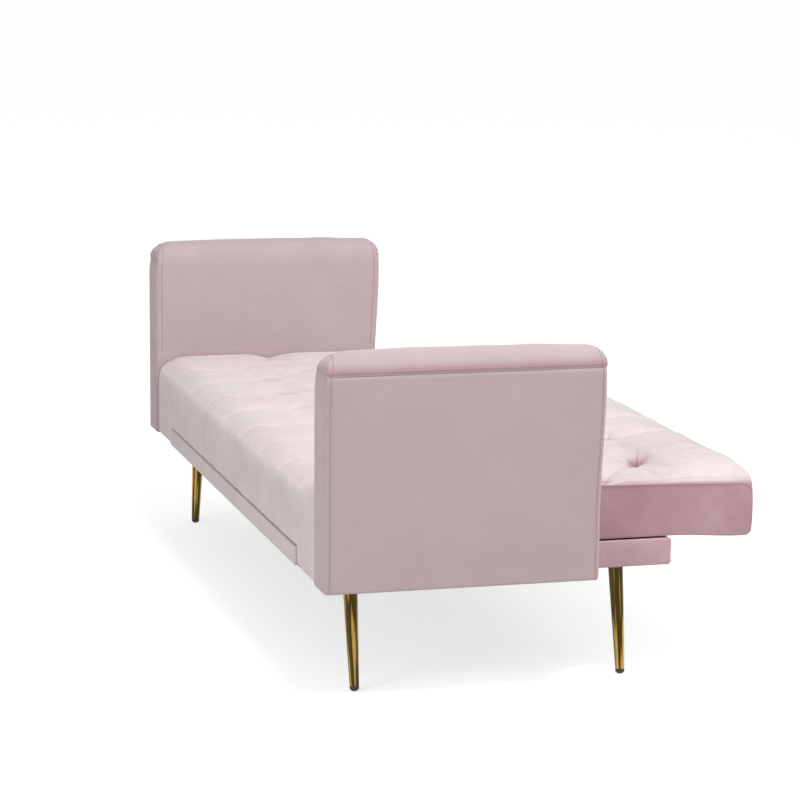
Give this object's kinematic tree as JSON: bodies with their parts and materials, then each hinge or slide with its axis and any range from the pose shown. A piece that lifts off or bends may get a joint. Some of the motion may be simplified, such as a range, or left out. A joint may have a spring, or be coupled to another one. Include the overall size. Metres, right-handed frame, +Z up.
{
  "type": "sofa bed",
  "caption": "Velvet sofa bed folded flat, with fixed slab arms, tufted seat and back on ratchet hinges, a low base and splayed tapered legs.",
  "frame": {"origin": "middle of the bed's length and depth, at floor level under the feet", "axes": "+X along the sofa's length to the right-hand arm, -Y to the front edge of the seat, +Z up"},
  "size_m": [1.83, 0.921, 0.694],
  "materials": {
    "velvet": "soft pile",
    "dust_cloth": "matt",
    "felt": "matt",
    "foam": "matt",
    "frame_wood": "bare",
    "gold_metal": "polished",
    "black_tip": "satin",
    "steel": "zinc plated",
    "spring_steel": "oiled"
  },
  "bodies": {
    "base": {"base_front_rail": "frame_wood", "base_rear_rail": "frame_wood", "base_left_rail": "frame_wood", "base_right_rail": "frame_wood", "base_slats": "frame_wood", "leg_blocks": "frame_wood", "base_cover": "velvet", "base_dust_cover": "dust_cloth", "front_band": "frame_wood", "front_band_cover": "velvet", "front_left_leg": "gold_metal", "front_right_leg": "gold_metal", "rear_left_leg": "gold_metal", "rear_right_leg": "gold_metal", "leg_plates": "steel", "leg_studs": "steel", "foot_caps": "black_tip", "seat_front_rail": "frame_wood", "seat_rear_rail": "frame_wood", "seat_left_rail": "frame_wood", "seat_right_rail": "frame_wood", "seat_springs": "spring_steel", "seat_spring_clips": "steel", "seat_spring_pad": "felt", "seat_foam": "foam", "seat_boxing": "velvet", "seat_top_panel": "velvet", "left_hinge_seat_plate": "steel", "right_hinge_seat_plate": "steel", "left_hinge_pin": "steel", "right_hinge_pin": "steel", "pawl_springs": "spring_steel", "hinge_seat_screws": "steel", "left_arm_frame": "frame_wood", "right_arm_frame": "frame_wood", "left_arm_padding": "foam", "right_arm_padding": "foam", "left_arm_outer_panel": "velvet", "right_arm_outer_panel": "velvet", "left_arm_inner_panel": "velvet", "right_arm_inner_panel": "velvet", "arm_boxing": "velvet", "arm_bolts": "steel"},
    "back": {"back_front_rail": "frame_wood", "back_rear_rail": "frame_wood", "back_left_rail": "frame_wood", "back_right_rail": "frame_wood", "back_springs": "spring_steel", "back_spring_clips": "steel", "back_spring_pad": "felt", "back_foam": "foam", "back_boxing": "velvet", "back_top_panel": "velvet", "back_underside": "velvet", "left_hinge_back_plate": "steel", "right_hinge_back_plate": "steel", "hinge_back_screws": "steel"},
    "left_pawl": {"left_hinge_pawl": "steel"},
    "right_pawl": {"right_hinge_pawl": "steel"}
  },
  "joints": [
    {"name": "back_recline", "type": "hinge", "parent": "base", "child": "back", "pos_m": [0, 0.0825, 0.4], "axis": [1, 0, 0], "range_deg": [0, 75]},
    {"name": "left_pawl_swing", "type": "hinge", "parent": "base", "child": "left_pawl", "pos_m": [-0.7895, 0.0595, 0.3665], "axis": [1, 0, 0], "range_deg": [0, 7]},
    {"name": "right_pawl_swing", "type": "hinge", "parent": "base", "child": "right_pawl", "pos_m": [0.7895, 0.0595, 0.3665], "axis": [1, 0, 0], "range_deg": [0, 7]}
  ]
}
